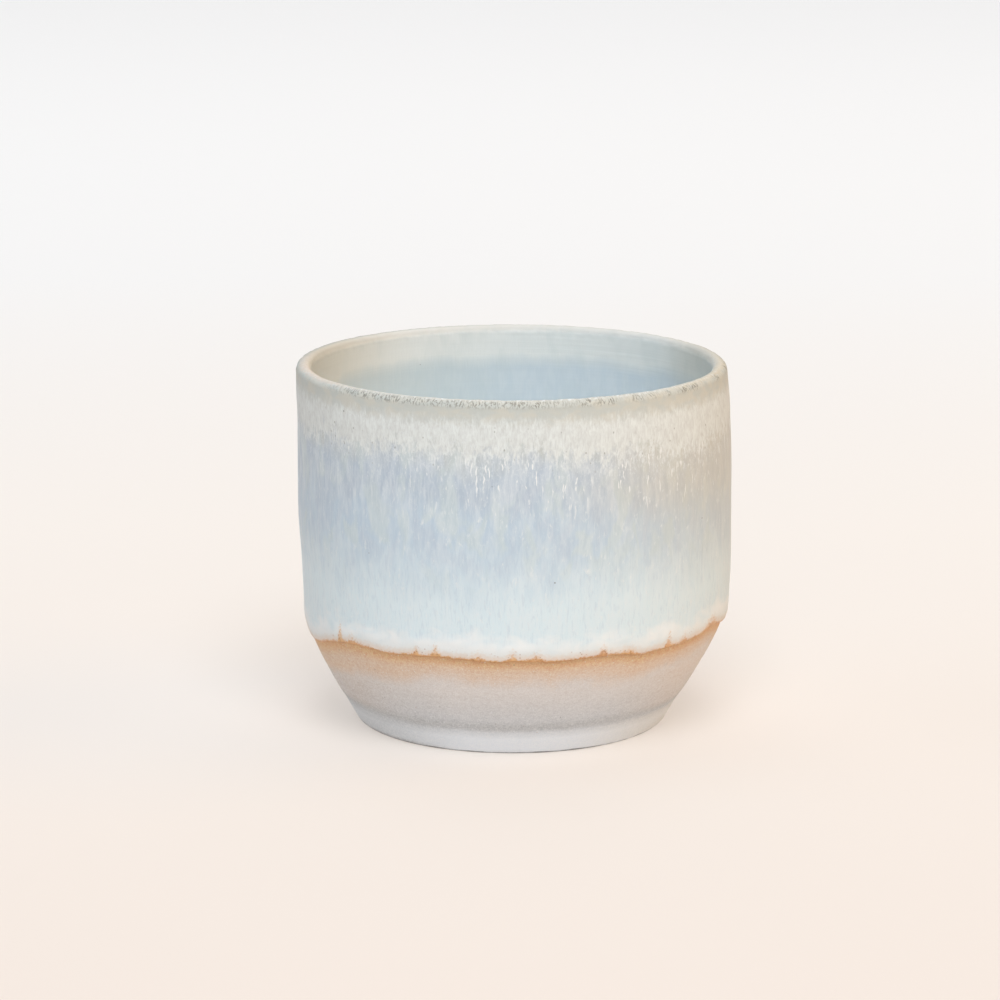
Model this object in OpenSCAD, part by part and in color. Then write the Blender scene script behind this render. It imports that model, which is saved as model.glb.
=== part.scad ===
// Cortado cup: a thrown and turned stoneware body under three coats of fired glaze.
// The foot stands on z = 0, Z is the axis of the cup and its front faces -Y.

/* [Body] */
// Height of the cup over its glazed lip
cup_h = 64.1; // [58:0.1:72]
// Outside diameter at the lip, over the glaze
lip_d = 76; // [72:0.1:82]
// Thickness of the clay at the lip
lip_t = 1.75; // [1.2:0.05:2.6]
// Outside diameter at the widest part of the belly, over the glaze
belly_d = 76.8; // [76:0.1:84]
// Height of the widest part of the belly
belly_z = 42; // [34:0.5:50]
// Outside diameter of the clay where the lines of wall and taper cross
hip_d = 74.6; // [72:0.1:78]
// Height where the lines of wall and taper cross
hip_z = 17.6; // [15:0.1:22]
// Difference in radius over which wall and taper blend into a soft knuckle
hip_blend = 2.4; // [0.5:0.1:4]

/* [Foot] */
// Diameter of the base
base_d = 54.8; // [50:0.1:58]
// Radius of the small round along the edge of the base
base_round = 0.5; // [0.2:0.1:1]
// Height of the turned foot band, up to its crease
foot_h = 4.8; // [3:0.1:7]
// Diameter at which the line of the taper meets the height of the crease
foot_d = 61; // [58:0.1:64]
// Depth of the undercut where the taper rolls into the crease
heel_cut = 0.4; // [0.1:0.05:0.8]
// Height over which that undercut fades out
heel_h = 1.5; // [0.5:0.1:3]
// Width of the ring that the cup stands on
rest_w = 6; // [4:0.5:10]
// Depth of the recess turned under the floor
recess_h = 1.2; // [0.4:0.1:2]

/* [Inside] */
// Height of the clay floor above the table
floor_z = 5; // [4:0.1:8]
// Thickness of the clay where the wall runs into the bowl
wall_t = 2.5; // [1.8:0.1:4]
// Radius of the round between the wall and the floor
bowl_r = 17; // [12:0.5:20]

/* [Glaze] */
// Thickness of the first coat, outside and inside
coat_t = 0.28; // [0.2:0.02:0.4]
// Thickness that the second dip adds at the lip, where both coats melt into one
rim_coat_t = 0.18; // [0.1:0.02:0.3]
// Thickness that the second dip still adds at its edges
rim_edge_t = 0.06; // [0.04:0.01:0.1]
// Length over which the second dip thins towards its edges
rim_feather = 4; // [1:0.5:5]
// Drop of the second dip below the lip, outside
rim_drop_out = 11; // [7:0.5:16]
// Drop of the second dip below the lip, inside
rim_drop_in = 8; // [6:0.5:14]
// Mean height of the outer coat's lower edge
line_z = 18.8; // [16:0.1:24]
// Height of the waves along that edge
line_wave = 0.4; // [0:0.05:0.8]
// Thickness of the roll that the glaze forms at that edge
roll_t = 0.55; // [0.4:0.05:1.2]
// Height over which the roll thins to the coat
roll_h = 3; // [1:0.1:6]
// Height over which the edge of the roll is rounded
roll_round = 0.6; // [0.3:0.1:1]
// How far the longest run of glaze hangs below the edge
run_h = 2.6; // [0:0.1:4]
// Direction of that run, in degrees from the front
run_at = -72; // [-180:1:180]
// Half width of that run, in degrees
run_w = 14; // [8:1:40]

/* [Hidden] */

// Spacing of the outline's points up the taper and the knuckle, and up the wall
taper_step = 1.2;
wall_step = 3;
// Steps in the small rounds and in the bowl
round_steps = 6;
bowl_steps = 16;
// Sections round the outer coat, and rows up its roll
coat_sections = 96;
roll_rows = 7;
// Waves along the edge of the outer coat: how many go round, their share of the height, their turn
edge_waves = [[9, 0.5, -112], [16, 0.35, 90], [5, 0.15, 0]];
// Step for measuring the slope of the wall
slope_step = 0.01;
$fn = 180;

// Clay radii, taken under the coats
lip_skin = coat_t + rim_coat_t;
lip_r = lip_t/2;
lip_c = [lip_d/2 - lip_skin - lip_r, cup_h - lip_skin - lip_r];
wall_top_r = lip_c.x + lip_r;
wall_top_z = lip_c.y;
rim_low_out = cup_h - rim_drop_out;
rim_low_in = cup_h - rim_drop_in;
belly_r = belly_d/2 - coat_t;
hip_r = hip_d/2;
foot_r = foot_d/2;
base_r = base_d/2;
crease_r = foot_r - heel_cut;
band_a = atan((crease_r - base_r)/foot_h);
base_c = [base_r - base_round, base_round];
recess_r = base_r - base_round - rest_w;
taper = (hip_r - foot_r)/(hip_z - foot_h);
bowl_top_z = floor_z + bowl_r;
roll_top_z = line_z + line_wave + roll_h;

function sq(x) = x*x;
function reversed(list) = [for (i = [len(list) - 1 : -1 : 0]) list[i]];
function arc(c, r, from, to, steps) =
    [for (i = [0 : steps]) let (a = from + (to - from)*i/steps) c + r*[cos(a), sin(a)]];

// The smaller of two values, rounded where they come within a given distance
function soft_min(a, b, blend) =
    min(a, b) - sq(max(blend - abs(a - b), 0))/(4*blend);

// Outside of the clay: a barrel wall over a straight taper, rolled under above the foot
function wall_line(z) =
    z > belly_z
        ? belly_r - (belly_r - wall_top_r)*sq((z - belly_z)/(wall_top_z - belly_z))
        : belly_r - (belly_r - hip_r)*sq((belly_z - z)/(belly_z - hip_z));
function taper_line(z) = foot_r + taper*(z - foot_h);
function clay_r(z) =
    soft_min(wall_line(z), taper_line(z), hip_blend) - heel_cut*exp(-(z - foot_h)/heel_h);

// Heights in equal steps, from the first up to and without the last
function levels(from, to, step) =
    let (count = ceil((to - from)/step))
    [for (i = [0 : 1 : count - 1]) from + (to - from)*i/count];

// A point at a height on the clay's outside, lifted off it by a thickness
function lifted(z, t) =
    let (slope = atan((clay_r(z + slope_step) - clay_r(z - slope_step))/(2*slope_step)))
    [clay_r(z) + t*cos(slope), z - t*sin(slope)];

// Inside of the clay: a round bowl under a wall that thins towards the lip. The path is lifted off it
// by a thickness, and runs from the middle of the floor up to and without the top.
function clay_t(z) = lip_t + (wall_t - lip_t)*(wall_top_z - z)/(wall_top_z - bowl_top_z);
function inside_r(z, t) = clay_r(z) - clay_t(z) - t;
function inside_path(t, top) =
    let (bowl_c = [inside_r(bowl_top_z, 0) - bowl_r, bowl_top_z])
    concat(
        [[0, floor_z + t]],
        [for (p = arc(bowl_c, bowl_r - t, -90, 0, bowl_steps)) if (p.y < bowl_top_z) p],
        [for (z = levels(bowl_top_z, rim_low_in, wall_step)) [inside_r(z, t), z]],
        [for (z = levels(rim_low_in, top, wall_step)) [inside_r(z, t), z]]);

function clay_section() = concat(
    [[0, recess_h], [recess_r - recess_h, recess_h], [recess_r, 0]],
    arc(base_c, base_round, -90, -band_a, round_steps),
    [for (z = levels(foot_h, roll_top_z, taper_step)) [clay_r(z), z]],
    [for (z = levels(roll_top_z, rim_low_out, wall_step)) [clay_r(z), z]],
    [for (z = levels(rim_low_out, wall_top_z, wall_step)) [clay_r(z), z]],
    arc(lip_c, lip_r, 0, 180, 2*round_steps),
    reversed(inside_path(0, wall_top_z)));

// First coat inside: it covers the bowl and the wall up to the second dip
function liner_section() = concat(
    inside_path(0, rim_low_in),
    [for (t = [0, coat_t]) [inside_r(rim_low_in, t), rim_low_in]],
    reversed(inside_path(coat_t, rim_low_in)));

// Second dip: it lies on the clay over the lip and thins towards both of its edges
function rim_t(run) = coat_t + min(rim_coat_t, rim_edge_t + (rim_coat_t - rim_edge_t)*run/rim_feather);
function rim_path(share) = concat(
    [for (z = levels(rim_low_out, wall_top_z, wall_step)) [clay_r(z) + share*rim_t(z - rim_low_out), z]],
    arc(lip_c, lip_r + share*lip_skin, 0, 180, 2*round_steps),
    [for (z = reversed(levels(rim_low_in, wall_top_z, wall_step)))
        [inside_r(z, share*rim_t(z - rim_low_in)), z]]);

// Lower edge of the outer coat: small waves and one longer run, by the angle from the front
function turned_from(a, b) = (a - b + 540) % 360 - 180;
function total(list) = [for (x = list) 1]*list;
function edge_z(a) =
    line_z + line_wave*total([for (w = edge_waves) w[1]*sin(w[0]*a + w[2])])
    - run_h*exp(-sq(turned_from(a, run_at)/run_w));

// Thickness of the outer coat at a height above its edge
function coat_at(h) =
    (coat_t + (roll_t - coat_t)*exp(-sq(h/roll_h)))*sqrt(1 - sq(1 - min(h/roll_round, 1)));

// One section of the outer coat: up the clay from the edge to the second dip, and back down
function coat_section(a) =
    let (
        edge = edge_z(a),
        fit = 1/cos(180/coat_sections),
        roll = [for (i = [1 : roll_rows]) edge + (roll_top_z - edge)*sq(i/(roll_rows + 1))],
        wall = levels(roll_top_z, rim_low_out, wall_step))
    concat(
        [for (z = concat([edge], roll, wall, [rim_low_out])) [clay_r(z)*fit, z]],
        [[clay_r(rim_low_out) + coat_at(rim_low_out - edge), rim_low_out]],
        [for (z = reversed(concat(roll, wall))) lifted(z, coat_at(z - edge))]);

module revolved(section) {
    rotate_extrude() polygon(section);
}

module clay_body() {
    color("#c9c0b8") revolved(clay_section());
}

module outer_glaze() {
    turns = [for (j = [0 : coat_sections - 1]) 360*j/coat_sections];
    sections = [for (a = turns) coat_section(a)];
    count = len(sections[0]);
    points = [for (j = [0 : coat_sections - 1]) for (p = sections[j])
        [p.x*sin(turns[j]), -p.x*cos(turns[j]), p.y]];
    faces = [for (j = [0 : coat_sections - 1]) for (k = [0 : count - 1])
        let (
            a = j*count + k,
            b = j*count + (k + 1) % count,
            c = ((j + 1) % coat_sections)*count + k,
            d = ((j + 1) % coat_sections)*count + (k + 1) % count)
        each [[a, b, c], [b, d, c]]];
    color("#cfdbe2") polyhedron(points, faces);
}

module liner_glaze() {
    color("#bccdd4") revolved(liner_section());
}

module rim_glaze() {
    color("#e3e2d9") revolved(concat(rim_path(0), reversed(rim_path(1))));
}

clay_body();
outer_glaze();
liner_glaze();
rim_glaze();
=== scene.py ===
"""Cortado cup: a thrown stoneware body and its three coats of glaze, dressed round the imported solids."""

import functools
import math
import operator

import bpy
from bpy.props import FloatProperty, FloatVectorProperty, PointerProperty
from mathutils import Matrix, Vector, noise


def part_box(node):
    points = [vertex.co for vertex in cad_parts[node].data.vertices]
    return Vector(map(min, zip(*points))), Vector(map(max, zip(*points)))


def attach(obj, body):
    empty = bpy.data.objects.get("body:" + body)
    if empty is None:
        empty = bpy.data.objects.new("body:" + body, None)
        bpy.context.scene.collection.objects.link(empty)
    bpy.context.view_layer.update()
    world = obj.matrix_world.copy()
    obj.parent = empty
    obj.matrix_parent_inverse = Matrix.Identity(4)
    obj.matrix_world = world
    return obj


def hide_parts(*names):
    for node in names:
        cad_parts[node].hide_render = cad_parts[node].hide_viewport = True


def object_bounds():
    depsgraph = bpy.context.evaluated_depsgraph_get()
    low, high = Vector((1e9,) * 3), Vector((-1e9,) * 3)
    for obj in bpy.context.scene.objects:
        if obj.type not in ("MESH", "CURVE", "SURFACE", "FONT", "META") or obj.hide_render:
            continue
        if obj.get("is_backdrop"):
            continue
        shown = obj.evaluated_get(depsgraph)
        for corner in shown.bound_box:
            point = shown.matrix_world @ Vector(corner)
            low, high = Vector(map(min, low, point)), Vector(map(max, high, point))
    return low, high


bl_info = {
    "name": "Cortado cup",
    "version": (1, 0, 0),
    "blender": (4, 5, 0),
    "location": "3D View > Sidebar > Cup",
    "description": "Turns the clay body of a small stoneware cup and its coats of glaze",
    "category": "Object",
}

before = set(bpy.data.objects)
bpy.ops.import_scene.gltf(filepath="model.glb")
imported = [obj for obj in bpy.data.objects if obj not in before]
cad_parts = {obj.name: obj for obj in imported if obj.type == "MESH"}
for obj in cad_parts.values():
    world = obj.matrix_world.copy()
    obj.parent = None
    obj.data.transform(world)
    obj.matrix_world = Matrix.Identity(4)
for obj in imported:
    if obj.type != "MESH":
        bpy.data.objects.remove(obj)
CAD_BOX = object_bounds()

MM = 0.001
OUTER_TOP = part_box("outer_glaze")[1]
LINER_LOW, LINER_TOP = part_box("liner_glaze")
RIM_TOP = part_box("rim_glaze")[1]

# Steps round the axis, sectors that a piece is spun in, distance at which points are one, smoothed angle
COAT_STEPS = 640
LINER_STEPS = 448
CLAY_STEPS = 512
SECTORS = 32
MERGE = 0.001*MM
SMOOTH_ANGLE = math.radians(32)

# Spacing of the rows of points up the cup
BAND_ROW = 0.3*MM
TAPER_ROW = 0.25*MM
ROLL_ROW = 0.25*MM
RIM_ROW = 0.4*MM
WALL_ROW = 0.6*MM
LINER_ROW = 0.7*MM
OUTER_SEAT_ROW = 1.2*MM
RIM_SEAT_ROW = 1.5*MM
BOWL_SEAT_ROW = 2*MM
HIDDEN_ROW = 3*MM
# Steps in the rounds, across the floor and across the recess
BASE_STEPS = 8
LIP_STEPS = 14
LIP_COAT_STEPS = 28
BOWL_STEPS = 30
FLOOR_STEPS = 12
RECESS_STEPS = 10
# Gap over a round before the rows go on
NEXT_ROW = 0.2*MM
# The roll's first rows crowd towards its edge: their count, and the height of the first one over it
EDGE_ROWS = 12
EDGE_ROW = 0.016*MM
# Heights above the glaze line up to which the clay shows, the roll reaches and the waves of the edge fade
BARE_TOP = 1.5*MM
ROLL_TOP = 8*MM
WAVE_TOP = 12*MM

# Waves along the lower edge of the outer coat: how many go round, their share of the height, their turn
EDGE_WAVES = ((9, 0.5, -112), (16, 0.35, 90), (5, 0.15, 0))
# Places where the edge is drawn up: degrees from the front, height in millimetres, half width in degrees
EDGE_LIFTS = ((66, 0.82, 13), (0, 0.2, 16), (-30, 0.16, 12))
# Places where the clay shows through the edge: degrees from the front, height and half width in millimetres
EDGE_NICKS = (
    (-54, 2.6, 0.5), (-49, 0.6, 1.2), (-27, 0.8, 0.6), (-21.5, 1.1, 0.7), (-10, 0.7, 0.9), (-1, 0.9, 0.7),
    (5, 0.6, 1.3), (23, 0.9, 0.6), (31, 0.5, 1.3), (44, 1.9, 0.5), (50, 0.8, 0.7), (64, 1.0, 2.2))
# How the rings of the wall stand off the axis, as thrown: height, spread and shift, in millimetres
LEANS = ((28, 8, 0.55), (20, 5, 0.3), (45, 10, 0.27), (64.1, 6, -0.33), (2, 6, -0.3))
# Radii of the wall and of the glaze edge that patterns are measured at, in millimetres
WALL_R = 38
EDGE_R = 37
# Nearer to the axis than this, the rings lean less
LEAN_R = 25*MM

# Unevenness: how far it goes, its width and height, all in millimetres, and its place in the noise
EDGE_STRAYS = ((0.16, 5, 1, 5), (0.13, 1.9, 1, 1.9), (0.06, 0.8, 1, 0.8))
WALL_DENTS = ((0.1, 30, 24, 5), (0.035, 9, 7, 9))
ROLL_PUFFS = ((0.12, 3.4, 2.6, 3), (0.06, 1.4, 1.2, 7))
COAT_RUNS = ((0.03, 1.8, 16, 11),)
LIP_LUMPS = ((0.07, 1.7, 1.3, 13), (0.05, 0.9, 0.9, 17))
# Turning marks on the bare clay: how far they go, how much they change round the cup, and their height
MARK_FAR = 0.025*MM
MARK_TURN = 0.3
MARK_H = 0.55*MM
# Where they fade in: above the table, below the glaze edge and away from the axis
MARK_FADES = ((0.3*MM, 1.5*MM), (-MM, 0.5*MM), (20*MM, 26*MM))
# Where the puffs of the roll and the runs of the coat come and go above the edge
PUFF_FADES = ((0.1*MM, 0.8*MM), (2*MM, 6.5*MM))
RUN_FADE = (2*MM, 8*MM)
RUN_TOP = 4*MM
# Thickness of glaze from which its face is uneven, and the same at the lip, with the height round the lip
FACE_FADE = (0.02*MM, 0.2*MM)
LIP_FACE_FADE = (0.2*MM, 0.4*MM)
LIP_FADE = (-MM, 0.3*MM)

# Lights: name, place, aim, width, spread in degrees, linear colour and power
CUP = (0, 0, 0.03)
LIGHTS = (
    ("ceiling_light", (0, 1.2, 2.0), CUP, 2.4, 180, (0.97, 0.97, 1.0), 23.8),
    ("backdrop_light", (0, 1.5, 1.2), (0, 1.5, 0), 2.2, 60, (0.99, 1.0, 1.0), 5.95),
    ("front_light", (0, -1.8, 1.0), CUP, 1.4, 180, (0.9, 0.97, 1.0), 6.5),
    ("high_light", (0.12, -1.0, 1.5), CUP, 1.0, 180, (0.95, 0.97, 1.0), 24.5),
    ("lamp_light", (1.2, 0, 0.8), CUP, 1.0, 180, (1.0, 0.52, 0.05), 5.5),
    ("side_light", (-1.2, 0, 0.8), CUP, 1.0, 180, (0.7, 0.84, 1.0), 3.2),
)
FLOOR_SIZE = 10
FLOOR_STOPS = ((-160, "near_floor"), (150, "mid_floor"), (480, "far_floor"))
SENSOR = 36
NEAREST = 10*MM

# Patterns of the finishes: the place they follow, width and height in millimetres, place in the noise,
# detail, roughness and stray
PATTERNS = {
    "drift": ("around", 9, 60, 3.1, 1, 0.5, 0),
    "wash": ("around", 4.6, 9, 53.9, 2, 0.5, 0.5),
    "haze": ("around", 3.8, 8, 59.3, 2, 0.5, 0.5),
    "stream": ("around", 1.5, 5, 11.3, 2, 0.5, 0.3),
    "streak": ("around", 0.42, 2.4, 47.1, 3, 0.6, 0.7),
    "stroke": ("around", 0.42, 1.5, 23.7, 3, 0.62, 0.8),
    "blotch": ("around", 1.1, 1.7, 37.7, 4, 0.62, 0.7),
    "sugar": ("around", 0.28, 0.45, 31.9, 1, 0.5, 0),
    "patch": ("around", 3.2, 1.8, 67.1, 2, 0.5, 0.4),
    "lobe": ("around", 5, 60, 71.9, 1, 0.5, 0),
    "puff": ("around", 3.6, 2.4, 77.3, 2, 0.5, 0.3),
    "crumb": ("around", 0.4, 0.5, 79.9, 1, 0.5, 0),
    "ragged": ("around", 0.5, 0.42, 83.1, 3, 0.65, 0),
    "thread": ("around", 1.6, 60, 87.7, 2, 0.6, 0),
    "cluster": ("around", 3, 60, 95.3, 1, 0.5, 0),
    "grime": ("bent", 0.3, 0.6, 91.7, 3, 0.7, 0),
    "lump": ("place", 0.7, 0.5, 89.3, 2, 0.6, 0),
    "swirl": ("place", 5, 5, 97.1, 3, 0.55, 0.6),
    "rings": ("place", 30, 0.9, 19.3, 2, 0.5, 0),
    "grooves": ("outwards", 1, 1.3, 29.3, 1, 0.5, 0),
    "slow": ("around", 7, 7, 4.7, 2, 0.5, 0),
    "sand": ("place", 0.24, 0.24, 13.1, 2, 0.7, 0),
    "grit": ("place", 0.7, 0.5, 15.7, 2, 0.6, 0),
    "turning": ("place", 24, 0.5, 19.3, 2, 0.5, 0),
    "paper": ("place", 2, 2, 1.7, 1, 0.5, 0),
}

# Specks: the place they follow, the size of a cell and a speck's radius in millimetres, the share of cells
# that have one, place in the pattern, and how much taller than wide they are
SPECKS = {
    "dashes": ("bent", 0.55, 0.15, 0.9, 41.3, 11),
    "pits": ("around", 0.8, 0.16, 0.16, 43.9, 1.6),
    "iron": ("around", 2.1, 0.16, 0.06, 7.7, 1),
    "rust_dots": ("around", 0.6, 0.17, 0.6, 6.1, 1),
    "inner_iron": ("place", 2.1, 0.15, 0.04, 9.1, 1),
    "clay_iron": ("place", 1.6, 0.14, 0.06, 5.9, 1),
    "clay_rust": ("place", 1.1, 0.13, 0.1, 8.3, 1),
    "clay_white": ("place", 0.55, 0.13, 0.25, 6.7, 1),
}

# Values that patterns move: the value, and how far each pattern moves it from end to end
SWAYS = {
    "tone": ("drop", {"wash": 9, "stream": 4}),
    "run": ("dip", {"drift": -6, "patch": -4, "stream": -6}),
    "flame": ("drop", {"blotch": 2.4, "stroke": 2.4}),
    "cover": ("spread", {"blotch": 2.8, "stroke": 2.8}),
    "roll": ("above", {"lobe": -2.4, "puff": -7}),
    "margin": ("edge", {"ragged": -1.2}),
    "low": ("inner_dip", {"drift": -1.8}),
    # Depth below the lip that the painted warm light on the inner left wall follows
    "thin_drop": ("drop", {"haze": 6}),
    "crest_drop": ("drop", {"lump": 1.2}),
    "level": ("height", {"slow": 0.8}),
    "scorch": ("under", {"slow": -4, "grit": -1.6}),
}

# A share of something, as the next tables have it: a number, and the limits that it is multiplied by.
# A limit is a value as it is, or a value with the points at which a soft step starts and is full. A number
# in the place of a value's name is a direction, in degrees from the front, and counts as the cosine to it.

# Values that are sums of shares: those of the outside, then of the inside, the lip and the clay
SUMS = {
    "dip": ((1, "drop"), (-0.8, (42, 0.86, 1))),
    "streaks": ((0.5, ("stream", 0.4, 0.66)), (0.5, ("streak", 0.4, 0.68))),
    "frosting": ((0.36, "streaks"), (0.2, "streaks", ("drop", 24, 16))),
    "grain": ((0.6, "stroke"), (0.4, "blotch")),
    "spread": ((2.2, ("run", 13.5, 3.5)),),
    "edge": ((1, "above"), (-2.6, "nick", "ragged"), (0.4, "nick")),
    "burn": ((0.5,), (0.4, ("above", 1.3, 0.3))),
    "line_wave": ((-0.38,), (1.2, "thread")),
    "outer_rough": ((0.37,), (0.1, ("cover", 0.15, 1.45)), (0.1, "stroke")),
    "outer_relief": ((0.5, "stroke"), (0.3, "sugar"), (0.4, "streak")),

    "wall": ((1, ("radius", 20, 31)),),
    "bowl": ((1, ("radius", 31, 20)),),
    "inner_dip": ((1, "drop"), (-1.8, "wall", "wash"), (0.9, "wall"), (-3, (-60, 0.3, 1))),
    "milk": (
        (0.24, "wall", ("stream", 0.4, 0.66)), (0.1, "wall", ("streak", 0.4, 0.66)),
        (0.3, "bowl", ("swirl", 0.4, 0.66))),
    "liner_rough": ((0.38,), (0.1, "wall", "streak"), (-0.05, "wall")),
    "liner_relief": ((0.4, "wall", "streak"), (1, "wall", "rings"), (1.6, "bowl", "grooves")),

    "outside": ((1, ("from_lip", -0.5, 0.5)),),
    "inside": ((1, ("from_lip", 0.5, -0.5)),),
    "back": ((1, (180, -0.2, 0.4)),),
    "spots": ((1, ("grime", 0.48, 0.58)),),
    "crowding": ((0.15,), (0.85, "crowd")),
    "worn": ((1,), (-0.85, "smooth")),
    "rim_rough": ((1, "outside", "outer_rough"), (1, "inside", "liner_rough"), (0.25, ("drop", 1, 0.4))),
    "rim_relief": (
        (1, "outside", "outer_relief"), (1, "inside", "liner_relief"), (1.2, "lump", ("drop", 1.8, 0.8))),

    "under": ((1, "below"), (-2, (-75, 0.5, 1)), (-0.5, (28, 0.92, 1))),
    "heat_low": ((2.4,), (0.3, "below"), (-0.3, "scorch")),
    "heat": ((0.46, ("scorch", 5.9, 1.8)), (0.34, ("below", "heat_low", 0.4))),
    "foot_band": ((1, ("over_foot", 0.4, -0.6)),),
    # Strength of the painted shade on the left of the clay, stronger on the foot band
    "dimming": ((0.13,), (0.14, "foot_band")),
    "sandy": ((1,), (-0.1, "foot_band")),
    "grey": (
        (0.43,), (0.6, "sandy", "sand"), (0.32, "sandy", "grit"), (-0.46, "sandy"),
        (0.08, "turning"), (0.06, "slow")),
    "clay_rough": ((0.62,), (0.2, "sand")),
    "clay_relief": ((1, "sandy", "sand"), (0.7, "sandy", "grit"), (0.3, "turning")),
}

# Values that are the highest of some shares
PEAKS = {
    "roll_white": (
        (0.92, ("roll", 5.6, 1.4)),
        (0.3, ("crumb", 0.6, 0.72), ("above", 10, 3), ("above", 1, 3))),
    "line_top": ((1, "line_wave"), (0.06,)),
    "flecks": (
        (1, ("ragged", 0.52, 0.66), ("margin", 0.4, -0.1)),
        (1, "rust_dots", ("cluster", 0.48, 0.58), ("above", 0.3, 0.8), ("above", 2.4, 1))),
    "smooth": ((1, (-80, 0.82, 0.98)), (1, "back")),
    "crowd": ((0.8, (-22, 0.72, 0.95)), (1, ("cluster", 0.46, 0.6))),
    "flashing": ((1, "heat"), (0.14, (0, 0.9, 0.5), ("over_foot", 0, 2))),
}

# Colours that follow a value: the value, and the colours at some of its points
RAMPS = {
    "outer_base": ("tone", (
        (7, "beige"), (13, "lavender"), (16, "lavender"), (21, "blue"), (24, "blue"),
        (36, "ice"), (46, "ice"))),
    "cream_base": ("grain", ((0.38, "ash"), (0.61, "cream"))),
    "thin_cream": ("patch", ((0.42, "beige"), (0.6, "straw"))),
    "burnt": ("thread", ((0.36, "ochre"), (0.64, "flash"))),
    "liner_base": ("low", (
        (0, "celadon"), (5, "celadon"), (7.8, "pool"), (34, "pool"), (50, "ice"), (64, "ice"))),
    "crest_base": ("lump", ((0.36, "beige"), (0.52, "crest"), (0.64, "frost"))),
}
# The same for the clay, up from the table and then from the top of the foot band
# Painted shadow: a dark line where the base meets the table
TABLE_STOPS = ((0, "speck"), (0.32, "band"))
# Painted shade: the clay darkens down towards the crease
FOOT_STOPS = ((-1.8, "band"), (0.6, "crease_shaded_clay"), (8, "clay"))

# Colours that are washes over another one: that one, and then each wash's colour and its share
WASHES = {
    "cream_run": ("cream_base", (
        ("thin_cream", 1, ("flame", 5, 2)),
        ("frost", 0.8, ("run", 8, 12)))),
    "outer": ("outer_base", (
        ("mist", 0.5, ("haze", 0.5, 0.64), ("tone", 36, 24)),
        ("lilac", 0.35, ("haze", 0.5, 0.36), ("tone", 36, 22)),
        ("frost", 1, "frosting"),
        ("lilac", 0.24, ("streak", 0.48, 0.34), ("tone", 16, 30)),
        # Painted warm light: straw on the right side of the upper wall
        ("straw", 0.4, (80, 0.5, 1), ("drop", 40, 18)),
        # Painted cool shade: a little blue on the upper left of the wall
        ("blue", 0.06, (-50, 0.7, 1), ("drop", 40, 26)),
        # Painted warm light: tan on the right of the upper wall
        ("tan", 0.26, (60, 0.6, 1), ("drop", 7, 11), ("drop", 26, 15)),
        ("cream_run", 1, ("cover", 0.15, 1.45)),
        ("frost", 0.4, ("sugar", 0.56, 0.7), ("run", 5, 9), ("run", 18, 10)),
        ("bead", 0.9, "dashes", ("drop", 8, 11), ("drop", 25, 13), ("patch", 0.36, 0.52), (22, 0.3, 0.9)),
        ("soot", 0.55, "pits", ("drop", 3, 6), ("run", 14, 9)),
        ("bead", 1, "roll_white"),
        # Painted shade: ash darkens the underside of the roll at the glaze edge
        ("ash", 0.4, ("above", 3.2, 0.8)),
        ("blush", 0.75, ("margin", 1.8, 0.4)),
        ("burnt", 1, "burn", ("margin", 0.6, 0.15)),
        ("rust", 0.54, ("above", "line_top", 0.02)),
        ("rust", 0.5, "flecks"),
        ("speck", 0.8, "iron"))),
    "liner": ("liner_base", (
        ("frost", 1, "milk", ("low", 5, 9)),
        ("pool", 0.5, "bowl", ("swirl", 0.56, 0.36)),
        ("mist", 0.15, "wall", ("haze", 0.42, 0.66)),
        ("mist", 0.4, (-140, 0.7, 0.98), ("low", 4, 8)),
        ("tan", 0.36, (98, 0.8, 1), ("drop", 20, 8)),
        # Painted warm light: tan on the inner left wall below the lip
        ("tan", 0.52, (-86, 0.4, 1), ("thin_drop", 14, 2)),
        ("speck", 0.7, "inner_iron"))),
    "crest_tint": ("crest_base", (
        # Painted warm light: tan on the right of the crest
        ("tan", 0.6, (84, 0.7, 1)),
        ("blush", 0.5, (-84, 0.7, 1)))),
    "rim": ("liner", (
        ("outer", 1, "outside"),
        ("crest_tint", 0.85, ("crest_drop", 0.5, 0.1), (180, 0.4, -0.2)),
        # Painted shade: speckle colour darkens the crest at the back of the lip
        ("soot", 0.34, "back", ("drop", 1.25, 0.5)),
        ("soot", 0.95, "spots", "crowding", "worn", "outside", ("drop", 0, 0.25), ("drop", 1.5, 0.7)),
        ("soot", 0.7, "spots", ("from_lip", 0.1, -0.1), ("drop", 0.3, 0.1), (10, 0.84, 0.97)))),
    "plain_clay": ("clay_base", (
        # Painted shade: the clay and the foot band darken on the left
        ("soot", 1, "dimming", (-80, 0.4, 0.95), ("level", 24, 10)),
        # Painted warm light: tan on the foot band on the right
        ("tan", 0.2, "foot_band", (80, 0.5, 1)),
        # Painted shade in the crease above the foot band
        ("soot", 0.2, ("over_foot", -0.6, 0.3), ("over_foot", 2.4, 0.5)),
        ("flash", 1, "flashing"),
        ("rust", 0.1, ("below", 0.4, 0)),
        ("clay", 1, ("radius", 26.4, 24.5)),
        # Painted shadow: the line along the base is darker and taller on the left
        ("speck", 0.4, (-70, 0.6, 0.98), ("height", 1.1, 0.3)))),
    "bare_clay": ("grainy_clay", (
        ("speck", 0.6, "clay_iron"),
        ("rust", 0.35, "clay_rust"),
        ("band", 0.45, "clay_white"))),
}

# Depth of the relief on each finish, in millimetres, and shine of the glazes and roughness of the paper
DEPTHS = {"outer": 0.05, "liner": 0.03, "rim": 0.06, "clay": 0.05, "paper": 0.001}
GLAZE_SHINE = 0.35
PAPER_ROUGH = 0.9
# How far streaks bend, in millimetres, and how many bends there are in one
BEND = 0.9
BEND_SCALE = 0.6
# A speck's edge softens from this share of its radius, and its cell is picked within this share
SPECK_CORE = 0.6
PICK_SOFT = 0.01
# Value round which the noise of a pattern lies
MEAN = 0.5


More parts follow.
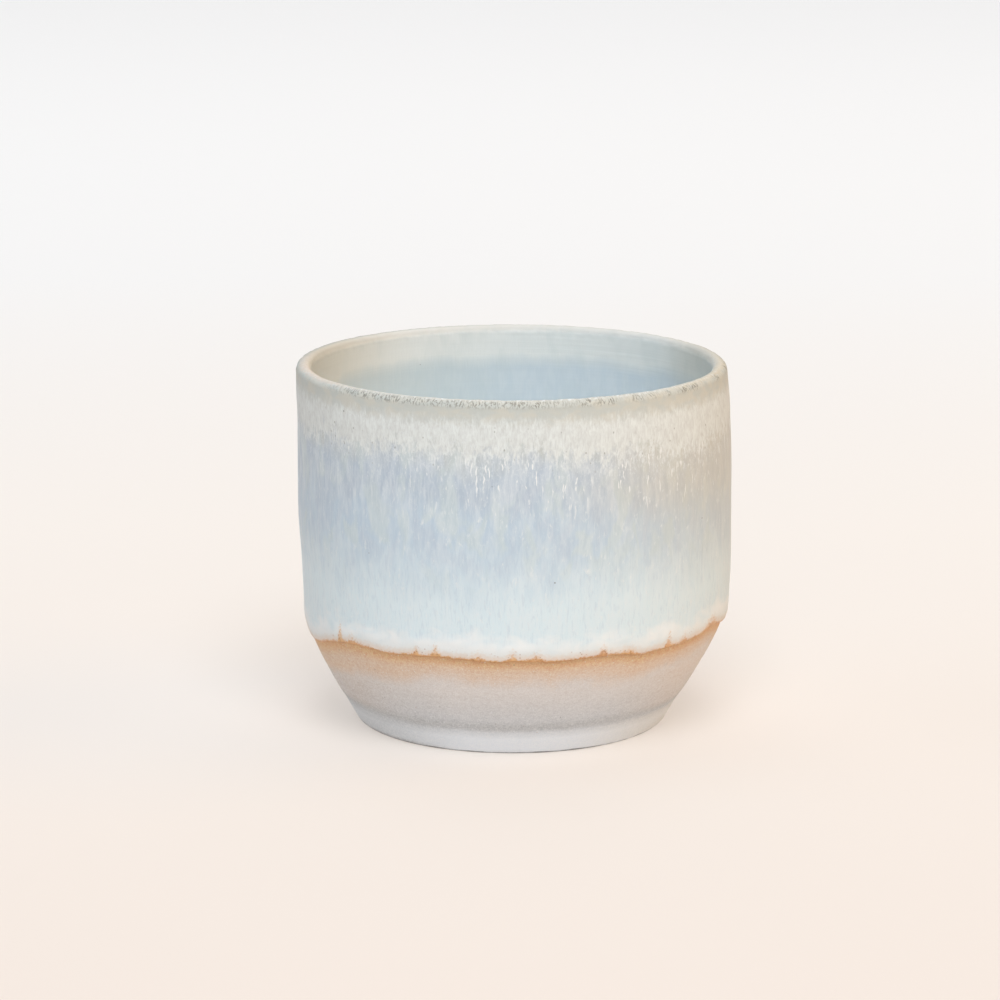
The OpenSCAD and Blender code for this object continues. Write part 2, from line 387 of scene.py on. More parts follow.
def srgb(red, green, blue):
    """A colour from 0 to 255 as the linear values that the shaders use."""
    values = (red/255, green/255, blue/255)
    return tuple(v/12.92 if v <= 0.04045 else ((v + 0.055)/1.055)**2.4 for v in values)


def size(name, description, default):
    return FloatProperty(name=name, description=description, default=default, unit="LENGTH", precision=5)


def turn(name, description, default):
    return FloatProperty(name=name, description=description, default=math.radians(default), subtype="ANGLE")


def number(name, description, default):
    return FloatProperty(name=name, description=description, default=default)


def colour(name, description, default):
    return FloatVectorProperty(
        name=name, description=description, default=srgb(*default), subtype="COLOR", size=3, min=0, max=1)


class CupForm(bpy.types.PropertyGroup):
    """Sizes of the clay body."""
    height: size("Height", "Height of the cup over its glazed lip", RIM_TOP.z)
    lip_d: size("Lip diameter", "Outside diameter at the lip, over the glaze", 76*MM)
    lip_t: size("Lip wall", "Thickness of the clay at the lip", 1.75*MM)
    belly_d: size("Belly diameter", "Outside diameter at the belly, over the glaze", 2*OUTER_TOP.x)
    belly_z: size("Belly height", "Height of the widest part of the belly", 42*MM)
    hip_d: size("Hip diameter", "Diameter of the clay where wall and taper cross", 74.6*MM)
    hip_z: size("Hip height", "Height where wall and taper cross", 17.6*MM)
    hip_blend: size("Hip blend", "Difference in radius over which wall and taper blend", 2.4*MM)
    base_d: size("Base diameter", "Diameter of the base", 54.8*MM)
    base_round: size("Base round", "Radius along the edge of the base", 0.5*MM)
    foot_h: size("Foot height", "Height of the turned foot band", 4.8*MM)
    foot_d: size("Foot diameter", "Diameter where the taper meets the foot band", 61*MM)
    heel_cut: size("Heel cut", "Depth of the undercut above the foot band", 0.4*MM)
    heel_h: size("Heel height", "Height over which the undercut fades", 1.5*MM)
    rest_w: size("Rest width", "Width of the ring that the cup stands on", 6*MM)
    recess_h: size("Recess", "Depth of the recess turned under the floor", 1.2*MM)
    floor_z: size("Floor height", "Height of the clay floor above the table", LINER_LOW.z)
    wall_t: size("Wall", "Thickness of the clay where the wall runs into the bowl", 2.5*MM)
    bowl_r: size("Bowl round", "Radius between the wall and the floor", 17*MM)


class CoatForm(bpy.types.PropertyGroup):
    """Sizes of the coats of glaze."""
    coat_t: size("Coat", "Thickness of the first coat", 0.28*MM)
    second_t: size("Second coat", "Thickness that the second dip adds at the lip", 0.18*MM)
    feather: size("Feather", "Length over which the second dip thins towards its edges", 6*MM)
    low_out: size("Dip outside", "Height of the second dip's edge, outside", OUTER_TOP.z)
    low_in: size("Dip inside", "Height of the second dip's edge, inside", LINER_TOP.z)
    line_z: size("Edge height", "Mean height of the outer coat's lower edge", 18.8*MM)
    line_wave: size("Edge wave", "Height of the waves along that edge", 0.4*MM)
    roll_t: size("Roll", "Thickness of the roll at that edge", 0.55*MM)
    roll_h: size("Roll height", "Height over which the roll thins", 3*MM)
    roll_round: size("Roll round", "Height over which the roll's edge is rounded", 0.6*MM)
    run_h: size("Run", "How far the longest run hangs below the edge", 2.6*MM)
    run_at: turn("Run turn", "Direction of that run, from the front", -72)
    run_w: turn("Run width", "Half width of that run", 14)


class CupColours(bpy.types.PropertyGroup):
    """Colours of the glazes and the clay."""
    beige: colour("Beige", "Thin glaze just under the lip", (202, 205, 199))
    # Straw is warmer patches of the thin glaze, and also painted warm light on the right of the wall
    straw: colour("Straw", "Warmer patches of that glaze", (209, 208, 198))
    cream: colour("Cream", "Second dip where it is thick", (233, 237, 234))
    # Ash is thin second dip, and also painted shade under the roll
    ash: colour("Ash", "Second dip where it is thin", (216, 218, 215))
    lavender: colour("Lavender", "Blue under the second dip", (188, 201, 213))
    # Blue is the middle of the wall, and also painted cool shade on its upper left
    blue: colour("Blue", "Middle of the wall", (194, 211, 224))
    ice: colour("Ice", "Lower wall", (222, 237, 242))
    mist: colour("Mist", "Greenish patches in the blue", (209, 220, 218))
    lilac: colour("Lilac", "Lilac patches in the blue", (193, 203, 216))
    frost: colour("Frost", "Fine crystals on the blue", (233, 238, 240))
    bead: colour("Bead", "Thick white roll at the edge", (244, 246, 245))
    blush: colour("Blush", "Thin glaze along the edge", (228, 208, 190))
    ochre: colour("Ochre", "Clay that shows through the edge", (211, 150, 93))
    rust: colour("Rust", "Line along the edge", (164, 104, 60))
    crest: colour("Crest", "Crest of the lip", (208, 206, 198))
    # The speckle colour is also painted shade at the back crest, on the left of the clay and in the crease
    soot: colour("Speckle", "Broken line along the lip", (140, 137, 127))
    # The speck colour is iron specks, and also the painted shadow along the base
    speck: colour("Specks", "Iron specks in the glaze", (104, 97, 94))
    celadon: colour("Inner band", "Second dip on the inside", (246, 247, 243))
    pool: colour("Inner blue", "Blue on the inside", (214, 224, 230))
    # Tan is thin glaze inside the lip, and also painted warm light on the wall, lip, foot and inner left
    tan: colour("Tan", "Thin glaze inside the lip", (212, 198, 170))
    clay: colour("Clay", "Bare clay", (228, 223, 220))
    # Painted shade: clay darkened towards the crease
    crease_shaded_clay: colour("Clay above the foot", "Bare clay close to the crease", (209, 212, 216))
    band: colour("Foot band", "Burnished band of the foot", (237, 242, 248))
    flash: colour("Flash", "Orange flash on the clay under the glaze", (228, 176, 114))


class StageLook(bpy.types.PropertyGroup):
    """Floor, lights and camera."""
    near_floor: colour("Near floor", "Floor before the cup", (247, 236, 227))
    mid_floor: colour("Middle floor", "Floor round the cup", (252, 246, 240))
    far_floor: colour("Far floor", "Floor behind the cup", (248, 248, 248))
    paper: number("Paper", "Share of the light that the floor sends back", 0.43)
    glow: number("Glow", "Strength of the light that the floor gives", 0.5)
    sky: colour("Room", "Light of the room", (246, 247, 250))
    sky_power: number("Room strength", "Strength of the light of the room", 0.02)
    lens: number("Lens", "Focal length of the camera, in millimetres", 150.19)
    camera_x: size("Camera side", "Camera's place across the view", -2.33*MM)
    camera_y: size("Camera distance", "Camera's place along the view", -723.56*MM)
    camera_z: size("Camera height", "Camera's height", 198*MM)
    pitch: turn("Camera pitch", "How far the camera looks down", 12.396)


def arc(centre, radius, start, end, steps):
    """Points along an arc in the half section, by its angles in degrees."""
    angles = [math.radians(start + (end - start)*i/steps) for i in range(steps + 1)]
    return [(centre[0] + radius*math.cos(a), centre[1] + radius*math.sin(a)) for a in angles]


def levels(low, high, step):
    """Heights in equal steps from low up to and without high."""
    count = math.ceil((high - low)/step - 1e-6)
    return [low + (high - low)*i/count for i in range(count)]


def swell(value, centre, spread):
    """A soft bump of height 1."""
    return math.exp(-((value - centre)/spread)**2)


def fade(value, low, high):
    """0 below low, 1 above high and a soft rise between them."""
    share = min(max((value - low)/(high - low), 0), 1)
    return share*share*(3 - 2*share)


class Outline:
    """The half sections of the cup's pieces, in metres."""

    def __init__(self, form, coats):
        self.form = form
        self.coats = coats
        self.lip_skin = coats.coat_t + coats.second_t
        self.lip_r = form.lip_t/2
        self.lip = (form.lip_d/2 - self.lip_skin - self.lip_r, form.height - self.lip_skin - self.lip_r)
        self.wall_top = self.lip[0] + self.lip_r
        self.belly_r = form.belly_d/2 - coats.coat_t
        self.crease_r = form.foot_d/2 - form.heel_cut
        self.bowl_top = form.floor_z + form.bowl_r

    def clay(self, z):
        """Radius of the clay's outside at a height."""
        form = self.form
        if z < form.foot_h:
            return form.base_d/2 + (self.crease_r - form.base_d/2)*z/form.foot_h
        far = (z - form.belly_z)/(self.lip[1] - form.belly_z)
        end = self.wall_top
        if z < form.belly_z:
            far = (form.belly_z - z)/(form.belly_z - form.hip_z)
            end = form.hip_d/2
        wall = self.belly_r - (self.belly_r - end)*far*far
        slope = (form.hip_d - form.foot_d)/2/(form.hip_z - form.foot_h)
        taper = form.foot_d/2 + slope*(z - form.foot_h)
        near = max(form.hip_blend - abs(wall - taper), 0)
        under = form.heel_cut*math.exp(-(z - form.foot_h)/form.heel_h)
        return min(wall, taper) - near*near/(4*form.hip_blend) - under

    def inside(self, z):
        """Radius of the clay's inside at a height above the bowl."""
        share = (self.lip[1] - z)/(self.lip[1] - self.bowl_top)
        return self.clay(z) - self.form.lip_t - (self.form.wall_t - self.form.lip_t)*share

    def bowl(self, skin, top, row):
        """The inside from the middle of the floor up to a height, lifted off the clay by a skin."""
        form = self.form
        centre = (self.inside(self.bowl_top) - form.bowl_r, self.bowl_top)
        floor = [(centre[0]*i/FLOOR_STEPS, form.floor_z + skin) for i in range(FLOOR_STEPS)]
        bend = arc(centre, form.bowl_r - skin, -90, 0, BOWL_STEPS)[:-1]
        wall = [(self.inside(z) - skin, z) for z in [*levels(self.bowl_top, top, row), top]]
        return floor + bend + wall

    def second(self, run):
        """Thickness of the second dip and what lies under it, by the distance from its edge."""
        return self.coats.coat_t + self.coats.second_t*fade(run, 0, self.coats.feather)

    def roll(self, above):
        """Thickness of the outer coat by the height above its edge."""
        coats = self.coats
        thick = coats.coat_t + (coats.roll_t - coats.coat_t)*math.exp(-(above/coats.roll_h)**2)
        return thick*math.sqrt(1 - (1 - min(above/coats.roll_round, 1))**2)

    def lifted(self, z, skin):
        """A point on the clay's outside at a height, lifted off it by a skin."""
        step = 0.01*MM
        slope = math.atan((self.clay(z + step) - self.clay(z - step))/(2*step))
        return (self.clay(z) + skin*math.cos(slope), z - skin*math.sin(slope))

    def body_section(self):
        form = self.form
        base_r = form.base_d/2
        recess_r = base_r - form.base_round - form.rest_w
        flat_r = recess_r - form.recess_h
        under = [(flat_r*i/RECESS_STEPS, form.recess_h) for i in range(RECESS_STEPS + 1)] + [(recess_r, 0)]
        tilt = math.degrees(math.atan((self.crease_r - base_r)/form.foot_h))
        base = arc((base_r - form.base_round, form.base_round), form.base_round, -90, -tilt, BASE_STEPS)
        bare_top = self.coats.line_z + BARE_TOP
        heights = levels(base[-1][1] + NEXT_ROW, form.foot_h, BAND_ROW)
        heights += levels(form.foot_h, bare_top, TAPER_ROW)
        heights += levels(bare_top, self.lip[1], HIDDEN_ROW)
        outside = [(self.clay(z), z) for z in heights]
        lip = arc(self.lip, self.lip_r, 0, 180, LIP_STEPS)
        return under + base + outside + lip + self.bowl(0, self.lip[1] - MM, BOWL_SEAT_ROW)[::-1]

    def outer_section(self):
        coats = self.coats
        line = coats.line_z
        top = coats.low_out
        heights = [line + EDGE_ROW*i*i for i in range(1, EDGE_ROWS + 1)]
        heights += levels(heights[-1] + NEXT_ROW, line + ROLL_TOP, ROLL_ROW)
        heights += levels(line + ROLL_TOP, top, WALL_ROW)
        air = [self.lifted(z, self.roll(z - line)) for z in heights]
        seat = [(self.clay(z), z) for z in [top, *levels(line, top, OUTER_SEAT_ROW)[::-1]]]
        return seat[-1:] + air + [(self.clay(top) + coats.coat_t, top)] + seat

    def rim_section(self):
        low_out, low_in, high = self.coats.low_out, self.coats.low_in, self.lip[1]
        air = [(self.clay(z) + self.second(z - low_out), z) for z in levels(low_out, high, RIM_ROW)]
        air += arc(self.lip, self.lip_r + self.lip_skin, 0, 180, LIP_COAT_STEPS)
        air += [(self.inside(z) - self.second(z - low_in), z) for z in levels(low_in, high, RIM_ROW)[::-1]]
        seat = [(self.inside(z), z) for z in levels(low_in, high, RIM_SEAT_ROW)]
        seat += arc(self.lip, self.lip_r, 180, 0, LIP_STEPS)
        seat += [(self.clay(z), z) for z in levels(low_out, high, RIM_SEAT_ROW)[::-1]]
        return air + seat + air[:1]

    def liner_section(self):
        top = self.coats.low_in
        return self.bowl(0, top, BOWL_SEAT_ROW) + self.bowl(self.coats.coat_t, top, LINER_ROW)[::-1]


def cup_outline(context):
    return Outline(context.scene.cup_form, context.scene.cup_coats)


def turned(name, section, steps):
    """A piece drawn out point by point as a half section, spun into a sector and copied round the axis."""
    bpy.ops.object.select_all(action="DESELECT")
    bpy.ops.mesh.primitive_plane_add(size=MM, location=(section[0][0], 0, section[0][1]))
    piece = bpy.context.object
    piece.name = name
    piece.data.name = name
    bpy.ops.object.transform_apply(location=True, rotation=True, scale=True)
    bpy.ops.object.mode_set(mode="EDIT")
    bpy.ops.mesh.select_mode(type="VERT")
    bpy.ops.mesh.select_all(action="SELECT")
    bpy.ops.mesh.merge(type="CENTER")
    for (r, z), (next_r, next_z) in zip(section, section[1:]):
        bpy.ops.mesh.extrude_region_move(TRANSFORM_OT_translate={"value": (next_r - r, 0, next_z - z)})
    spun = {"center": (0, 0, 0), "axis": (0, 0, 1)}
    sector = 2*math.pi/SECTORS
    bpy.ops.mesh.select_all(action="SELECT")
    bpy.ops.mesh.spin(steps=steps//SECTORS, angle=sector, **spun)
    bpy.ops.mesh.select_all(action="SELECT")
    bpy.ops.mesh.spin(steps=SECTORS - 1, dupli=True, angle=2*math.pi - sector, **spun)
    bpy.ops.mesh.select_all(action="SELECT")
    bpy.ops.mesh.remove_doubles(threshold=MERGE)
    bpy.ops.mesh.normals_make_consistent(inside=False)
    bpy.ops.object.mode_set(mode="OBJECT")
    return piece


def uneven(angle, z, bumps):
    """How far soft bumps move a point on the wall, by its angle from the front and its height."""
    moved = 0
    for far, width, height, shift in bumps:
        r = WALL_R/width
        place = (r*math.sin(angle) + shift, -r*math.cos(angle), z/MM/height + 2*shift)
        moved += far*MM*noise.noise(place)
    return moved


def turned_from(angle, degrees):
    """How far an angle is turned from a direction, the short way round, in radians."""
    return math.remainder(angle - math.radians(degrees), 2*math.pi)


def edge_height(coats, angle):
    """Height of the outer coat's lower edge, by the angle from the front."""
    height = coats.line_z + uneven(angle, 0, EDGE_STRAYS)
    for count, share, shift in EDGE_WAVES:
        height += share*coats.line_wave*math.sin(count*angle + math.radians(shift))
    for at, high, half in EDGE_LIFTS:
        height += high*MM*swell(turned_from(angle, at), 0, math.radians(half))
    return height - coats.run_h*swell(turned_from(angle, math.degrees(coats.run_at)), 0, coats.run_w)


def nick_height(angle):
    """How far the clay shows above the glaze edge, by the angle from the front, in millimetres."""
    return max(height*swell(EDGE_R*turned_from(angle, at), 0, half) for at, height, half in EDGE_NICKS)


def thrown(angle, r, z):
    """Where a point of the cup stands after throwing: the rings lean and the wall is a little uneven."""
    share = min(r/LEAN_R, 1)
    r += share*uneven(angle, z, WALL_DENTS)
    lean = share*MM*sum(shift*swell(z/MM, centre, spread) for centre, spread, shift in LEANS)
    return (r*math.sin(angle) + lean, -r*math.cos(angle), z)


def shaped(piece, place, coats):
    """Move each point where place(angle, radius, height) says, and note its height over the glaze edge."""
    mesh = piece.data
    heights = []
    shown = []
    edges = {}
    for vertex in mesh.vertices:
        x, y, z = vertex.co
        angle = math.atan2(x, -y)
        key = round(angle, 6)
        if key not in edges:
            edges[key] = edge_height(coats, angle), nick_height(angle)
        edge, nick = edges[key]
        radius, height = place(angle, math.hypot(x, y), z, edge)
        heights.append((height - edge)/MM)
        shown.append(nick)
        vertex.co = thrown(angle, radius, height)
    for name, values in (("above_edge", heights), ("nick", shown)):
        mesh.attributes.new(name, "FLOAT", "POINT").data.foreach_set("value", values)
    mesh.update()


def dressed(piece, node, finish):
    """Finish a piece: smooth it, give it its finish, hang it from the root and hide the solid it stands
    for.
    """
    bpy.ops.object.select_all(action="DESELECT")
    piece.select_set(True)
    bpy.context.view_layer.objects.active = piece
    bpy.ops.object.shade_smooth_by_angle(angle=SMOOTH_ANGLE)
    piece.data.materials.clear()
    piece.data.materials.append(finish)
    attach(piece, "root")
    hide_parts(node)


class Wire:
    """A socket in the nodes of a finish. Sums on it add Math nodes."""

    def __init__(self, tree, socket):
        self.tree = tree
        self.socket = socket

    def node(self, kind, settings=None, inputs=None, out=0):
        """Add a node: its settings come first, then the values or links of its sockets."""
        node = self.tree.nodes.new(kind)
        for name, value in (settings or {}).items():
            if name == "stops":
                ramp = node.color_ramp
                while len(ramp.elements) < len(value):
                    ramp.elements.new(1)
                for element, (place, shade) in zip(ramp.elements, value):
                    element.position = place
                    element.color = (*shade, 1)
            else:
                setattr(node, name, value)
        for name, value in (inputs or {}).items():
            if isinstance(value, Wire):
                self.tree.links.new(value.socket, node.inputs[name])
            else:
                node.inputs[name].default_value = value
        return Wire(self.tree, node.outputs[out])

    def math(self, operation, *values):
        return self.node("ShaderNodeMath", {"operation": operation}, dict(enumerate(values)))

    def __add__(self, other):
        return self.math("ADD", self, other)

    def __radd__(self, other):
        return self.math("ADD", other, self)

    def __sub__(self, other):
        return self.math("SUBTRACT", self, other)

    def __rsub__(self, other):
        return self.math("SUBTRACT", other, self)

    def __mul__(self, other):
        return self.math("MULTIPLY", self, other)

    def __rmul__(self, other):
        return self.math("MULTIPLY", other, self)

    def __truediv__(self, other):
        return self.math("DIVIDE", self, other)

    def __rtruediv__(self, other):
        return self.math("DIVIDE", other, self)

    def __pow__(self, other):
        return self.math("POWER", self, other)

    def most(self, other):
        return self.math("MAXIMUM", self, other)

    def step(self, start, full):
        """0 at start, 1 at full and a soft step between them. Where start is higher, it falls."""
        return self.node(
            "ShaderNodeMapRange", {"interpolation_type": "SMOOTHSTEP"},
            {"Value": self, "From Min": start, "From Max": full})

    def mix(self, other, share, blend="MIX"):
        """This colour with a share of another one."""
        settings = {"data_type": "RGBA", "blend_type": blend, "clamp_factor": True}
        if not isinstance(other, Wire):
            other = (*other, 1)
        return self.node("ShaderNodeMix", settings, {0: share, 6: self, 7: other}, 2)

    def ramp(self, stops):
        """A colour by this value, from stops of value and colour."""
        low = stops[0][0]
        reach = stops[-1][0] - low
        places = [((value - low)/reach, shade) for value, shade in stops]
        return self.node("ShaderNodeValToRGB", {"stops": places}, {0: (self - low)/reach})

    def part(self, axis):
        return self.node("ShaderNodeSeparateXYZ", None, {0: self}, axis)

    def sized(self, width, height, shift):
        """This position as a place in a pattern, by the pattern's width and height in millimetres."""
        return self.node(
            "ShaderNodeVectorMath", {"operation": "MULTIPLY_ADD"},
            {0: self, 1: (1/width, 1/width, 1/height), 2: (shift, 2*shift, 3*shift)})

    def cloud(self, width, height, shift, detail, rough, stray):
        """Noise round this position."""
        return self.node("ShaderNodeTexNoise", None, {
            "Vector": self.sized(width, height, shift), "Scale": 1,
            "Detail": detail, "Roughness": rough, "Distortion": stray})

    def specks(self, cell, radius, share, shift, tall):
        """Specks in a share of the cells of a random pattern, by their sizes in millimetres."""
        place = self.sized(cell, cell*tall, shift)
        cells = self.node("ShaderNodeTexVoronoi", None, {"Vector": place, "Scale": 1})
        picks = Wire(self.tree, cells.socket.node.outputs["Color"]).part(0)
        return cells.step(radius/cell, SPECK_CORE*radius/cell)*picks.step(1 - share - PICK_SOFT, 1 - share)


class Finish:
    """A material with its shader, and the values and colours that its tables name, in millimetres."""

    def __init__(self, name, colours):
        self.material = bpy.data.materials.new(name)
        self.material.use_nodes = True
        self.colours = colours
        tree = self.material.node_tree
        self.shader = tree.nodes["Principled BSDF"]
        metres = Wire(tree, tree.nodes.new("ShaderNodeTexCoord").outputs["Object"])
        self.node = metres.node
        self.place = self.node("ShaderNodeVectorMath", {"operation": "SCALE"}, {0: metres, "Scale": 1/MM})
        self.x, self.y, z = (self.place.part(axis) for axis in range(3))
        radius = (self.x*self.x + self.y*self.y)**0.5
        self.near = radius.most(1)
        self.outwards = self.node("ShaderNodeCombineXYZ", None, {2: radius})
        wall = WALL_R/self.near
        self.around = self.node("ShaderNodeCombineXYZ", None, {0: self.x*wall, 1: self.y*wall, 2: z})
        bends = self.node(
            "ShaderNodeTexNoise", None, {"Vector": self.around, "Scale": BEND_SCALE, "Detail": 1}, 1)
        self.bent = self.node(
            "ShaderNodeVectorMath", {"operation": "MULTIPLY_ADD"},
            {0: bends, 1: (BEND, BEND, BEND), 2: self.around})
        above, nick = (
            self.node("ShaderNodeAttribute", {"attribute_name": name}, out="Fac")
            for name in ("above_edge", "nick"))
        self.values = {"height": z, "radius": radius, "above": above, "below": 0 - above, "nick": nick}
        self.shades = {}

    def value(self, name):
        """A value by its name in the tables, made once."""
        if name not in self.values:
            self.values[name] = self.made(name)
        return self.values[name]

    def made(self, name):
        if name in PATTERNS:
            space, *sizes = PATTERNS[name]
            return getattr(self, space).cloud(*sizes)
        if name in SPECKS:
            space, *sizes = SPECKS[name]
            return getattr(self, space).specks(*sizes)
        if name in SWAYS:
            start, reaches = SWAYS[name]
            moves = (reach*(self.value(pattern) - MEAN) for pattern, reach in reaches.items())
            return functools.reduce(operator.add, moves, self.value(start))
        if name in SUMS:
            return functools.reduce(operator.add, (self.share(*share) for share in SUMS[name]))
        return functools.reduce(Wire.most, (self.share(*share) for share in PEAKS[name]))

    def share(self, share, *limits):
        for limit in limits:
            share = share*self.limit(limit)
        return share

    def limit(self, limit):
        if isinstance(limit, str):
            return self.value(limit)
        name, *points = limit
        value = self.value(name) if isinstance(name, str) else self.towards(name)
        return value.step(*(self.value(point) if isinstance(point, str) else point for point in points))

    def towards(self, degrees):
        """Cosine of the angle between a point and a direction, from the front."""
        a = math.radians(degrees)
        return (self.x*math.sin(a) - self.y*math.cos(a))/self.near

    def shade(self, name):
        """A colour by its name in the tables."""
        if name in self.shades:
            return self.shades[name]
        if name in RAMPS:
            value, stops = RAMPS[name]
            return self.ramp(self.value(value), stops)
        if name not in WASHES:
            return getattr(self.colours, name)
        base, washes = WASHES[name]
        tint = self.shade(base)
        for shade, *share in washes:
            tint = tint.mix(self.shade(shade), self.share(*share))
        return tint

    def ramp(self, value, stops):
        return value.ramp([(point, getattr(self.colours, shade)) for point, shade in stops])

    def close(self, tint, rough, relief, depth, **sockets):
        """Feed the shader: colour, roughness and a relief of a depth in millimetres, and fixed values."""
        links = self.material.node_tree.links
        links.new(tint.socket, self.shader.inputs["Base Color"])
        if isinstance(rough, Wire):
            links.new(rough.socket, self.shader.inputs["Roughness"])
        else:
            self.shader.inputs["Roughness"].default_value = rough
        bump = self.node("ShaderNodeBump", None, {"Strength": 1, "Distance": depth*MM, "Height": relief})
        links.new(bump.socket, self.shader.inputs["Normal"])
        for name, value in sockets.items():
            self.shader.inputs[name.replace("_", " ")].default_value = value
        return self.material


def glaze_finish(coat, colours, outline):
    """A coat of glaze: cream runs over blue outside, a pale band over blue inside, and both at the lip."""
    finish = Finish(coat + "_glaze", colours)
    finish.values["drop"] = outline.form.height/MM - finish.value("height")
    finish.values["from_lip"] = finish.value("radius") - outline.lip[0]/MM
    rough, relief = finish.value(coat + "_rough"), finish.value(coat + "_relief")
    return finish.close(finish.shade(coat), rough, relief, DEPTHS[coat], Specular_IOR_Level=GLAZE_SHINE)


def clay_finish(colours, foot):
    """Bare sandy clay with an orange flash under the glaze, a lighter foot band and painted shade low down.
    """
    finish = Finish("stoneware", colours)
    level = finish.value("level")
    finish.values["over_foot"] = level - foot/MM
    stops = (*TABLE_STOPS, *((foot/MM + over, shade) for over, shade in FOOT_STOPS))
    finish.shades["clay_base"] = finish.ramp(level, stops)
    grey = finish.value("grey")
    grains = finish.node("ShaderNodeCombineColor", None, {0: grey, 1: grey, 2: grey})
    finish.shades["grainy_clay"] = finish.shade("plain_clay").mix(grains, 1, "OVERLAY")
    return finish.close(
        finish.shade("bare_clay"), finish.value("clay_rough"), finish.value("clay_relief"), DEPTHS["clay"])


def floor_finish(look):
    """A pale sweep of paper that glows softly, warmer towards the camera."""
    finish = Finish("floor_paper", look)
    tint = finish.ramp(finish.y, FLOOR_STOPS)
    finish.material.node_tree.links.new(tint.socket, finish.shader.inputs["Emission Color"])
    paper = tint.mix((0, 0, 0), 1 - look.paper)
    return finish.close(
        paper, PAPER_ROUGH, finish.value("paper"), DEPTHS["paper"], Emission_Strength=look.glow)


class CupOperator:
    """What the operators of the cup share."""
    bl_options = {"REGISTER", "UNDO"}


class CUP_OT_stage(CupOperator, bpy.types.Operator):
    """Lay the floor, light it and set the camera"""
    bl_idname = "cup.stage"
    bl_label = "Stage"

    def execute(self, context):
        scene = context.scene
        look = scene.cup_stage
        bpy.ops.object.select_all(action="DESELECT")
        bpy.ops.mesh.primitive_plane_add(size=FLOOR_SIZE)
        floor = context.object
        floor.name = "floor"
        floor.data.materials.append(floor_finish(look))
        floor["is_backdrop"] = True
        self.room(scene, look)
        for light in LIGHTS:
            self.light(*light)
        self.camera(scene, look)
        scene.view_settings.view_transform = "Standard"
        return {"FINISHED"}

    def room(self, scene, look):
        scene.world = scene.world or bpy.data.worlds.new("room")
        scene.world.use_nodes = True
        sky = scene.world.node_tree.nodes["Background"]
        sky.inputs["Color"].default_value = (*look.sky, 1)
        sky.inputs["Strength"].default_value = look.sky_power

    def light(self, name, place, aim, width, spread, shade, power):
        turned_to = (Vector(aim) - Vector(place)).to_track_quat("-Z", "Y").to_euler()
        bpy.ops.object.light_add(type="AREA", location=place, rotation=turned_to)
        light = bpy.context.object
        light.name = name
        light.data.size = width
        light.data.spread = math.radians(spread)
        light.data.color = shade
        light.data.energy = power
        light.visible_camera = False

    def camera(self, scene, look):
        bpy.ops.object.camera_add(
            location=(look.camera_x, look.camera_y, look.camera_z),
            rotation=(math.pi/2 - look.pitch, 0, 0))
        scene.camera = bpy.context.object
        scene.camera.data.sensor_width = SENSOR
        scene.camera.data.lens = look.lens
        scene.camera.data.clip_start = NEAREST


class CUP_OT_clay_body(CupOperator, bpy.types.Operator):
    """Turn the clay body with its foot band, taper, wall and bowl"""
    bl_idname = "cup.clay_body"
    bl_label = "Clay body"

    def execute(self, context):
        outline = cup_outline(context)
        piece = turned("cup_clay", outline.body_section(), CLAY_STEPS)
        table_fade, edge_fade, axis_fade = MARK_FADES

        def place(angle, r, z, edge):
            bare = fade(z, *table_fade)*fade(edge - z, *edge_fade)*fade(r, *axis_fade)
            mark = noise.noise((MARK_TURN*math.sin(angle), MARK_TURN*math.cos(angle), z/MARK_H))
            return r + bare*mark*MARK_FAR, z

        shaped(piece, place, outline.coats)
        finish = clay_finish(context.scene.cup_colours, outline.form.foot_h)
        dressed(piece, "clay_body", finish)
        return {"FINISHED"}


class CUP_OT_outer_glaze(CupOperator, bpy.types.Operator):
    """Lay the outer coat, with its runs and the roll along its lower edge"""
    bl_idname = "cup.outer_glaze"
    bl_label = "Outer glaze"

    def execute(self, context):
        outline = cup_outline(context)
        line, top = outline.coats.line_z, outline.coats.low_out
        piece = turned("cup_outer_coat", outline.outer_section(), COAT_STEPS)
        puff_start, puff_end = PUFF_FADES

        def place(angle, r, z, edge):
            skin = max(r - outline.clay(z), 0)
            above = z - line
            z += (edge - line)*(1 - fade(above, 0, WAVE_TOP))
            puff = fade(above, *puff_start)*(1 - fade(above, *puff_end))*uneven(angle, z, ROLL_PUFFS)
            run = fade(above, *RUN_FADE)*(1 - fade(z, top - RUN_TOP, top))*uneven(angle, z, COAT_RUNS)
            return outline.clay(z) + skin + fade(skin, *FACE_FADE)*(puff + run), z

        shaped(piece, place, outline.coats)
        finish = glaze_finish("outer", context.scene.cup_colours, outline)
        dressed(piece, "outer_glaze", finish)
        return {"FINISHED"}


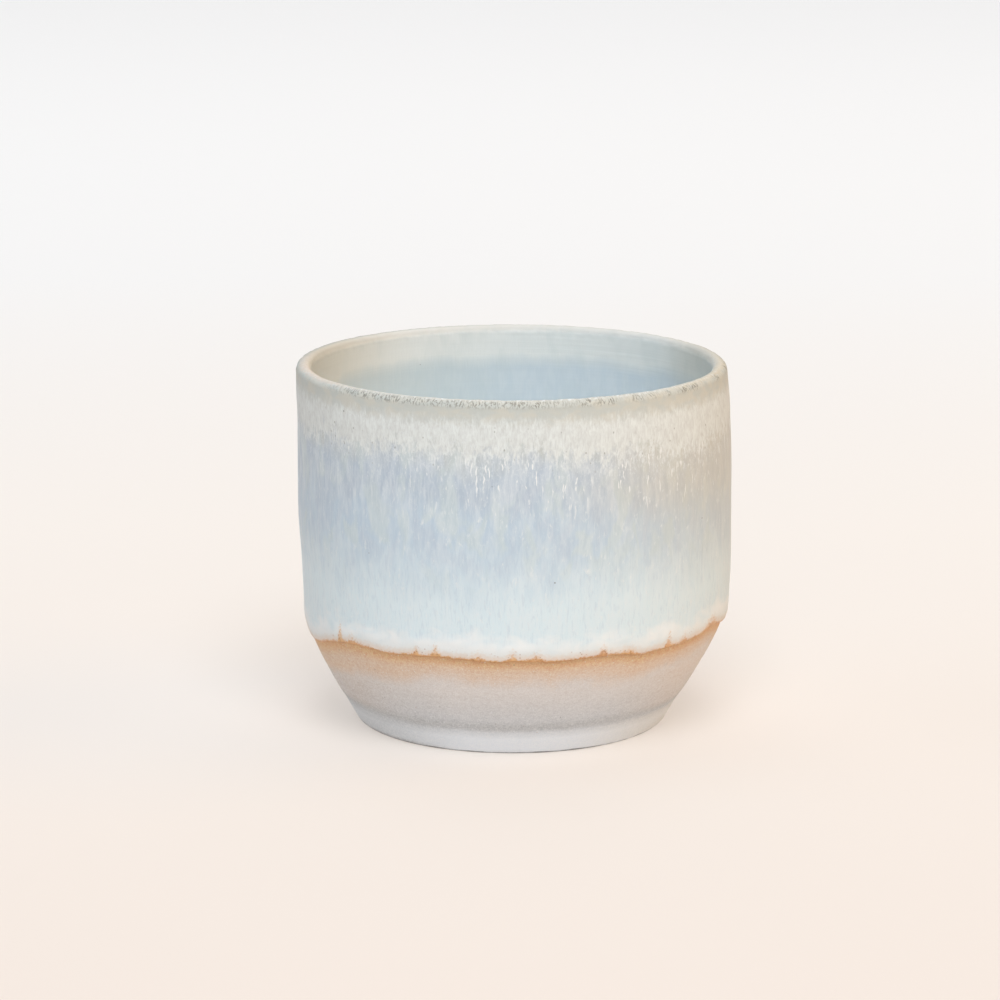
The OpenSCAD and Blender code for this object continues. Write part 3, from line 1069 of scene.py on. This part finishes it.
class CUP_OT_rim_glaze(CupOperator, bpy.types.Operator):
    """Lay the second dip over the lip"""
    bl_idname = "cup.rim_glaze"
    bl_label = "Rim glaze"

    def execute(self, context):
        outline = cup_outline(context)
        piece = turned("cup_rim_coat", outline.rim_section(), COAT_STEPS)
        lip_x, lip_z = outline.lip

        def place(angle, r, z, edge):
            away = math.hypot(r - lip_x, z - lip_z)
            face = fade(z - lip_z, *LIP_FADE)*fade(away - outline.lip_r, *LIP_FACE_FADE)
            lump = face*uneven(angle, z, LIP_LUMPS)/max(away, MERGE)
            return r + lump*(r - lip_x), z + lump*(z - lip_z)

        shaped(piece, place, outline.coats)
        finish = glaze_finish("rim", context.scene.cup_colours, outline)
        dressed(piece, "rim_glaze", finish)
        return {"FINISHED"}


class CUP_OT_liner_glaze(CupOperator, bpy.types.Operator):
    """Lay the coat inside the bowl"""
    bl_idname = "cup.liner_glaze"
    bl_label = "Liner glaze"

    def execute(self, context):
        outline = cup_outline(context)
        piece = turned("cup_liner_coat", outline.liner_section(), LINER_STEPS)
        shaped(piece, lambda angle, r, z, edge: (r, z), outline.coats)
        finish = glaze_finish("liner", context.scene.cup_colours, outline)
        dressed(piece, "liner_glaze", finish)
        return {"FINISHED"}


OPERATORS = (CUP_OT_stage, CUP_OT_clay_body, CUP_OT_outer_glaze, CUP_OT_rim_glaze, CUP_OT_liner_glaze)


class CUP_PT_sidebar(bpy.types.Panel):
    """The steps that make the cup"""
    bl_idname = "CUP_PT_sidebar"
    bl_label = "Cortado cup"
    bl_space_type = "VIEW_3D"
    bl_region_type = "UI"
    bl_category = "Cup"

    def draw(self, context):
        for step in OPERATORS:
            self.layout.operator(step.bl_idname)
        for group in GROUPS:
            box = self.layout.box()
            for name in GROUPS[group].__annotations__:
                box.prop(getattr(context.scene, group), name)


GROUPS = {"cup_form": CupForm, "cup_coats": CoatForm, "cup_colours": CupColours, "cup_stage": StageLook}
CLASSES = (*GROUPS.values(), *OPERATORS, CUP_PT_sidebar)


def register():
    for kind in CLASSES:
        bpy.utils.register_class(kind)
    for name, kind in GROUPS.items():
        setattr(bpy.types.Scene, name, PointerProperty(type=kind))


def unregister():
    for name in GROUPS:
        delattr(bpy.types.Scene, name)
    for kind in reversed(CLASSES):
        bpy.utils.unregister_class(kind)


def main():
    register()
    bpy.ops.cup.stage()
    bpy.ops.cup.clay_body()
    bpy.ops.cup.outer_glaze()
    bpy.ops.cup.rim_glaze()
    bpy.ops.cup.liner_glaze()
    boxes = {"cad": CAD_BOX, "visual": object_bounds()}
    {name: [list(corner) for corner in box] for name, box in boxes.items()}


if __name__ == "__main__":
    main()
